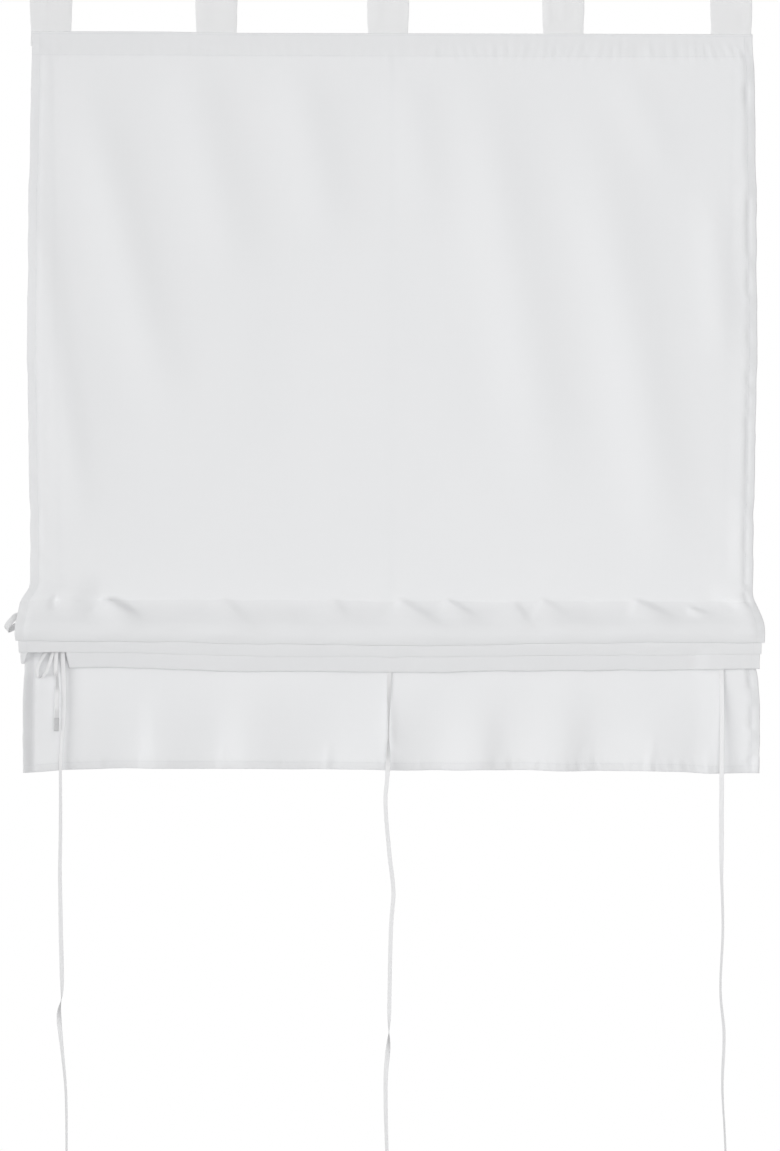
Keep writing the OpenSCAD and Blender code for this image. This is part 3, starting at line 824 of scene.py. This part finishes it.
# How each ribbon is twisted about its run, as drop below the crease and degrees
twists = {
    "left": [(60, 8), (170, 20), (200, 48), (300, 40), (480, 20), (530, 25), (575, 195), (640, 230),
             (780, 238)],
    "centre": [(60, 0), (114, -2), (134, -40), (148, -58), (165, -80), (200, -76), (225, 30), (300, 34),
               (340, 30), (520, 36), (570, 30), (620, 205), (780, 228)],
    "right": [(60, 0), (95, 8), (115, 31), (200, 29), (250, 25), (330, 20), (380, 62), (520, 70), (600, 55),
              (700, 75), (780, 68)],
}
# How far each tail comes forward with the flap, at these drops below the crease
tailDrops = (50, 70, 82, 95, 120, 240, 400)
tailSteps = {"left": (0, 11.5, 12.6, 12.2, 10.6, 5.2, 0), "centre": (0, 1.6, 5.0, 6.4, 8.2, 5, 0),
             "right": (0, 5.6, 9.2, 9.9, 11.3, 6.9, 0)}
sides = {"left": -1, "centre": 0, "right": 1}


def ribbonLine(name):
    return sides[name] * (halfWidth - ribbon["inset"])


def ribbonRoute(name):
    x = ribbonLine(name)
    lean = sides[name] * ribbon["lean"]
    points = [(x + lean, ribbon["startY"], ribbon["startZ"])]
    for across, y, height in ribbonBack + tails[name]:
        outward = lean * max(0, height) / panelDrop
        forward = float(np.interp(-height, tailDrops, tailSteps[name]))
        points.append((x + across + outward, y - forward, creaseZ + height))
    return smoothRoute(points, ribbon["step"])


# Bow loops from the middle of the knot
sideLoop = [(-4.5, 0, 2.5), (-20, 0, 6), (-40, -1, 10), (-49.5, -2, 13), (-58.5, -3, 19.5), (-66.5, -3.5, 13),
            (-72, -2, 6), (-74, 1.5, 1.5), (-72.5, 4.5, 0), (-67, 5.5, 2.5), (-59, 5, 6.5), (-46, 3, 9),
            (-20, 1, 3), (-4.5, 0, 0.5)]
lowLoop = [(-5, 0, -1), (-11, 0.5, -18), (-20, 1, -32), (-27, 1, -44), (-30.5, 0, -55), (-28.5, -1, -63),
           (-22.5, -2, -62.5), (-16.5, -2.5, -54), (-12.5, -2.5, -42), (-8.5, -2, -28), (-6, -1, -14),
           (-4.5, 0, -3)]
shortTail = [(-3, -2.4, -1), (-3.6, -3.2, -20), (-4.6, -3.4, -38), (-4.8, -3.2, -54), (-2.6, -2.8, -70),
             (-3.4, -2.4, -90), (-3.6, -2.4, -112), (-4, -2.4, -136.5)]
tuckedLoop = [(-4.5, 0, 2), (-16, 0, 5), (-32, 0, 4), (-38, 0, -1), (-32, 0, -6), (-16, 0, -3), (-4.5, 0, 0)]
tuckedTail = [(-3, -2.4, -1), (-4, -2.4, -12), (-5, -2.4, -24)]
bow = {"bandWidth": 5.6, "bandSlope": 1.2, "sideLoopWidth": 8.2, "coreSize": (10.5, 6.4, 7.5), "step": 1.5,
       "sideWide": (0.67, 0, -0.74), "lowWide": (0.82, -0.57, 0), "tuckedWide": (0, 1, 0.3),
       "forward": 11, "forwardFrom": (-8, -26), "weld": 1e-6}
# The short tail's twist, as share of its length and degrees
tailTwist = [(0, 10), (0.38, 24), (0.45, -58), (0.54, -62), (0.62, 10), (0.74, 14), (0.82, -24), (1, -20)]
paintedShadeEnd = {"from": 0.86, "width": 7.2, "thick": 1.3}  # the short tail's end, in the painted-shade grey


def mirrored(path):
    return [(-x, y, z) for x, y, z in path]


def knotCore(size, rings=10, spokes=18, folded=0.08):  # a soft lump closed at both poles
    points, faces, uvs = [], [], []
    for r in range(rings + 1):
        v = math.pi * r / rings
        for k in range(spokes):
            u = 2 * math.pi * k / spokes
            fold = 1 + folded * math.sin(3 * u + 2 * v)
            points.append((size[0] / 2 * math.sin(v) * math.cos(u) * fold,
                           size[1] / 2 * math.sin(v) * math.sin(u) * fold, size[2] / 2 * math.cos(v)))
            uvs.append((3 * math.cos(u), 9 * v))
    for r in range(rings):
        for k in range(spokes):
            a, b = r * spokes + k, r * spokes + (k + 1) % spokes
            faces.append((a, a + spokes, b + spokes, b))
    return np.array(points), faces, np.array(uvs)


def knotBand(size, width, slope, turns=1.06, out=0.5, points=48):  # the ribbon's turn round the knot
    turn = np.linspace(0, 2 * math.pi * turns, points)
    grow = 1 + 0.05 * turn / turn[-1]
    route = np.stack([grow * (size[0] / 2 + out) * np.sin(turn), -grow * (size[1] / 2 + out) * np.cos(turn),
                      slope * np.sin(turn + 0.4)], axis=1)
    return sweptTape(route, lengthAlong(route), (0, 0, 1), width, ribbon["thick"], None, 4)


def bowForward(z):  # what hangs below the knot comes forward with the flap
    return bow["forward"] * ramp(z, *bow["forwardFrom"])


# the tail's last piece in the darker grey: painted shade on its twisted end
def makePaintedShadeEnd(route, run, turn):
    end = sweptTape(route, run, (1, 0, 0), paintedShadeEnd["width"], paintedShadeEnd["thick"], turn)
    piece = meshPiece("bow_left_paintedShadeEnd", *end, paintedShadeEndMaterial)
    facesOutward(piece)
    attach(piece, "root")
    return piece


def makeBow(name):  # the bow, and the painted-shade end of the tail that hangs out
    at = np.array((ribbonLine(name), tieY, creaseZ + knotZ))
    loops = [(tuckedLoop, "tuckedWide"), (mirrored(tuckedLoop), "tuckedWide")]
    tail = tuckedTail
    if name == "left":
        loops = [(sideLoop, "sideWide"), (lowLoop, "lowWide")]
        tail = shortTail
    parts = [knotCore(bow["coreSize"]), knotBand(bow["coreSize"], bow["bandWidth"], bow["bandSlope"])]
    for path, wide in loops:
        route, run = smoothRoute(path, bow["step"])
        width = bow["sideLoopWidth"] if path is sideLoop else ribbon["width"]
        parts.append(sweptTape(route, run, bow[wide], width, ribbon["thick"]))
    route, run = smoothRoute(tail, bow["step"])
    turn = np.radians(keyed(run / run[-1], tailTwist))
    parts.append(sweptTape(route, run, (1, 0, 0), ribbon["width"], ribbon["thick"], turn))
    ends = []
    if name == "left":
        last = run > paintedShadeEnd["from"] * run[-1]
        route[:, 1] -= bowForward(route[:, 2])
        ends.append(makePaintedShadeEnd(route[last] + at, run[last], turn[last]))
    points, faces, uvs = joined(parts)
    points[:, 1] -= bowForward(points[:, 2])
    piece = meshPiece(f"bow_{name}_tied", points + at, faces, uvs, ribbonMaterial)
    facesOutward(piece, bow["weld"])
    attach(piece, "root")
    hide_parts(f"bow_{name}")
    return [piece] + ends


endKnot = {"radius": 1.25, "width": 4.6, "thick": 1.3, "deep": 1.3, "below": 4.5, "tail": 12, "points": 73}


def makeEndKnot(name):
    across, y, height = tails[name][-1]
    at = np.array((ribbonLine(name) + across, y, creaseZ + height - endKnot["below"]))
    t = np.linspace(0, 2 * math.pi, endKnot["points"])
    r = endKnot["radius"]
    route = np.stack([r * (np.sin(t) + 2 * np.sin(2 * t)), endKnot["deep"] * r * -np.sin(3 * t),
                      r * (np.cos(t) - 2 * np.cos(2 * t))], axis=1)
    parts = [sweptTape(route, lengthAlong(route), (0, 1, 0.2), endKnot["width"], endKnot["thick"])]
    stub = [(0, 0, -1), (0.6, 0.2, -5), (1.6, 0.4, -9), (1.2, 0, -endKnot["below"] - endKnot["tail"])]
    line, run = smoothRoute(stub, bow["step"])
    parts.append(sweptTape(line, run, (1, 0, 0), ribbon["width"], ribbon["thick"], 0.5 * run / run[-1]))
    points, faces, uvs = joined(parts)
    piece = meshPiece(f"end_{name}_knotted", points + at, faces, uvs, ribbonMaterial)
    facesOutward(piece)
    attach(piece, "root")
    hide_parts(f"end_knot_{name}")
    return piece


def ribbonRipple(along, across):  # a little uneven along the ribbon, and cupped across it
    depth, *pitches, seed = ribbon["ripple"]
    cupped = ribbon["cupped"] * (2 * across / ribbon["width"]) ** 2
    return depth * softNoise(along, across, *pitches, seed) + cupped


def makeRibbons():
    width, thick, eased = ribbon["width"], ribbon["thick"], ribbon["eased"]
    for name in sides:
        route, run = ribbonRoute(name)
        turn = np.radians(keyed(creaseZ - route[:, 2], twists[name]))
        turn = np.convolve(np.pad(turn, eased // 2, mode="edge"), np.ones(eased) / eased, mode="valid")
        woven = sweptTape(route, run, (1, 0, 0), width, thick, turn, ripple=ribbonRipple)
        piece = meshPiece(f"ribbon_{name}_woven", *woven, ribbonMaterial)
        facesOutward(piece)
        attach(piece, "root")
        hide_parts(f"ribbon_{name}")
        tied, *ends = makeBow(name)
        others = [tied, makeEndKnot(name), *ends]
        print("ribbon", name, "length", round(run[-1]), "mm")


makeRibbons()


# Stitches, by geometry nodes along the seam lines

stitch = {"hem": (3.2, 2.5, 0.42), "seed": 4, "lift": 0.12, "margin": 3, "acrossPoints": 330,
          "downPoints": 620, "sideIn": 11, "topUp": 1.5, "topEdge": 3.0, "lowDown": 2}


def stitchTree():
    tree = bpy.data.node_groups.new("stitchRow", "GeometryNodeTree")
    g = Graph(tree)
    tree.interface.new_socket("Geometry", in_out="OUTPUT", socket_type="NodeSocketGeometry")
    for label, kind in (("Geometry", "Geometry"), ("Pitch", "Float"), ("Length", "Float"),
                        ("Thickness", "Float"), ("Seed", "Int"), ("Thread", "Material")):
        tree.interface.new_socket(label, in_out="INPUT", socket_type="NodeSocket" + kind)
    given = g.node("NodeGroupInput")
    want = {socket.name: Wire(g, socket) for socket in given.outputs if socket.name}
    seam = g.wire("GeometryNodeMeshToCurve", {"Mesh": want["Geometry"]})
    even = g.wire("GeometryNodeResampleCurve", {"Curve": seam, "Length": want["Pitch"]}, mode="LENGTH")
    ahead = g.wire("GeometryNodeInputTangent")
    turned = g.wire("FunctionNodeAlignRotationToVector", {"Vector": ahead}, axis="X")
    bead = g.wire("GeometryNodeMeshUVSphere", {"Segments": 6, "Rings": 4, "Radius": 0.5})
    spread = g.wire("FunctionNodeRandomValue", {"Min": 0.85, "Max": 1.1, "Seed": want["Seed"]}, 1,
                    data_type="FLOAT")
    long = want["Length"] * spread
    size = g.wire("ShaderNodeCombineXYZ", {0: long, 1: want["Thickness"], 2: want["Thickness"]})
    row = g.wire("GeometryNodeInstanceOnPoints",
                 {"Points": even, "Instance": bead, "Rotation": turned, "Scale": size})
    solid = g.wire("GeometryNodeRealizeInstances", {0: row})
    dressed = g.wire("GeometryNodeSetMaterial", {"Geometry": solid, "Material": want["Thread"]})
    smooth = g.wire("GeometryNodeSetShadeSmooth", {0: dressed})
    g.node("NodeGroupOutput", {"Geometry": smooth})
    return tree


def plainMesh(name, points, edges, tree, values):  # runs a tree on seam lines and keeps the result
    mesh = bpy.data.meshes.new(name + "Line")
    mesh.from_pydata((np.asarray(points) * mm).tolist(), edges, [])
    carrier = placed(name + "Line", mesh)
    modifier = carrier.modifiers.new("nodes", "NODES")
    modifier.node_group = tree
    for item in tree.interface.items_tree:
        if item.in_out == "INPUT" and item.name in values:
            modifier[item.identifier] = values[item.name]
    graph = bpy.context.evaluated_depsgraph_get()
    made = bpy.data.meshes.new_from_object(carrier.evaluated_get(graph))
    carrier.modifiers.remove(modifier)
    bpy.data.objects.remove(carrier)
    made.name = name
    return placed(name, made)


def linked(lines):  # the points of several lines, and the edges along each
    edges, start = [], 0
    for line in lines:
        edges += [(start + k, start + k + 1) for k in range(len(line) - 1)]
        start += len(line)
    return np.vstack(lines), edges


def seamLines(off):  # hem seams on one side of the cloth
    half, margin = halfWidth, stitch["margin"]
    wide = np.linspace(-half + margin, half - margin, stitch["acrossPoints"])
    high = np.linspace(margin, clothLength - margin, stitch["downPoints"])
    rows = (cloth["topHem"] - stitch["topUp"], stitch["topEdge"],
            clothLength - cloth["bottomHem"] + stitch["lowDown"])
    lines = [hung(wide, np.full_like(wide, s), off) for s in rows]
    for side in (-1, 1):
        lines.append(hung(np.full_like(high, side * (half - stitch["sideIn"])), high, off))
    return linked(lines)


def buttonholeLines():  # zigzag rows round the buttonholes, over their edges
    along, wide = (buttonhole[k] / 2 + more for k, more in zip(("length", "width"), buttonhole["margin"]))
    power, count = buttonhole["square"], buttonhole["points"] + 1
    inner, outer = buttonhole["zigzag"]
    t = np.linspace(0, 2 * math.pi, count)
    reach = np.where(np.arange(count) % 2, outer, inner)
    shape = (np.abs(np.cos(t)) ** power + np.abs(np.sin(t)) ** power) ** (1 / power)
    s = ridgeMiddle + wide * reach * np.sin(t) / shape
    return linked([hung(x + along * reach * np.cos(t) / shape, s, off)
                   for x in buttonhole["places"] for off in (-buttonhole["lift"], buttonhole["lift"])])


ringThread = {"turns": 4, "turnPoints": 20, "pitch": 0.6, "radius": 1.0, "thick": 0.5}
ringGap = 2  # the least height between two rings of a ribbon


def makeRingThreads():  # each ring is sewn to the cloth by a few turns of thread
    turns, r, thick = ringThread["turns"], ringThread["radius"], ringThread["thick"]
    parts = []
    for name in sides:
        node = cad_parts[f"guide_rings_{name}"]
        at = np.array([node.matrix_world @ v.co for v in node.data.vertices]) / mm
        at = at[np.argsort(at[:, 2])]
        cuts = np.where(np.diff(at[:, 2]) > ringGap)[0] + 1
        for ring in np.split(at, cuts):
            middle = (ring.max(0) + ring.min(0)) / 2
            wire = (ring[:, 2].max() - ring[:, 2].min()) / 2
            t = np.linspace(0, 2 * math.pi * turns, ringThread["turnPoints"] * turns)
            route = np.stack([middle[0] + (t / t[-1] - 0.5) * turns * ringThread["pitch"],
                              ring[:, 1].min() + wire + r * np.cos(t), middle[2] + r * np.sin(t)], axis=1)
            parts.append(sweptTape(route, lengthAlong(route), (1, 0, 0), thick, thick, None, 2))
    piece = meshPiece("ringThreads", *joined(parts), threadWithPaintedShadeMaterial)
    facesOutward(piece)
    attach(piece, "root")
    print("ring threads:", len(parts))
    return piece


def makeStitches():
    tree = stitchTree()
    lift, hem = stitch["lift"], stitch["hem"]
    rows = {"hemStitchesFront": (seamLines(-lift), hem),
            "hemStitchesBack": (seamLines(cloth["hemGap"] + lift), hem),
            "buttonholeStitches": (buttonholeLines(), buttonhole["stitch"])}
    made = []
    for name, ((points, edges), (pitch, length, thick)) in rows.items():
        piece = plainMesh(name, points, edges, tree, {
            "Pitch": pitch * mm, "Length": length * mm, "Thickness": thick * mm,
            "Seed": stitch["seed"], "Thread": threadWithPaintedShadeMaterial})
        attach(piece, "root")
        made.append(piece)
        print(name, len(piece.data.polygons), "faces")
    return made + [makeRingThreads()]


stitches = makeStitches()
(clothLength + cloth["topHem"] + cloth["bottomHem"]) * mm


# Guide rings keep their solids and get the plastic finish

for name in sides:
    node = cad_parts[f"guide_rings_{name}"]
    node.data.materials.clear()
    node.data.materials.append(ringMaterial)


# Stage: pale floor, white surround and soft lamps

stage = {
    "floorZ": -1.95, "floorRadius": 1.6, "floorColour": (0.86, 0.86, 0.86, 1), "floorRough": 0.9,
    "surround": 0.333,  # light from all round
    "lamps": {  # kind, place, power and size, which for a sun is its angle in degrees
        "leftKey": ("SUN", (-3.0, -2.5, -0.5), 1.05, 44),
        "frontFill": ("AREA", (0.4, -3.4, -0.83), 29.5, 1.8),
        "backFill": ("AREA", (-0.8, 3.2, -0.5), 24, 1.8),
        "topFill": ("AREA", (0.2, -2.6, 0.9), 6, 1.6),
    },
    "aim": (0, 0, -0.7),
}


def makeStage():
    bpy.ops.mesh.primitive_circle_add(vertices=96, radius=stage["floorRadius"], fill_type="NGON",
                                      location=(0, 0, stage["floorZ"]))
    floor = bpy.context.object
    floor.name = "floor"
    material, g = newMaterial("paleFloor")
    g.shownAs(g.node("ShaderNodeBsdfPrincipled", {
        "Base Color": stage["floorColour"], "Roughness": stage["floorRough"]}))
    floor.data.materials.append(material)
    for name, (kind, place, power, size) in stage["lamps"].items():
        data = bpy.data.lights.new(name, kind)
        data.energy = power
        if kind == "SUN":
            data.angle = math.radians(size)
        else:
            data.size = size
        lamp = placed(name, data)
        lamp.location = place
        lamp.rotation_euler = (Vector(stage["aim"]) - Vector(place)).to_track_quat("-Z", "Y").to_euler()
        lamp.visible_camera = False


def makeWorld():
    world = bpy.data.worlds.new("surround")
    world.use_nodes = True
    world.node_tree.nodes.clear()
    g = Graph(world.node_tree)
    path = g.node("ShaderNodeLightPath")
    seen = Wire(g, path.outputs["Is Camera Ray"])
    seen = seen.maths("MAXIMUM", Wire(g, path.outputs["Is Glossy Ray"]))
    strength = seen * (1 - stage["surround"]) + stage["surround"]
    light = g.node("ShaderNodeBackground", {"Color": (1, 1, 1, 1), "Strength": strength})
    g.node("ShaderNodeOutputWorld", {"Surface": light})
    bpy.context.scene.world = world


makeStage()
makeWorld()
bpy.context.scene.view_settings.view_transform = "Standard"
print("stage lit")
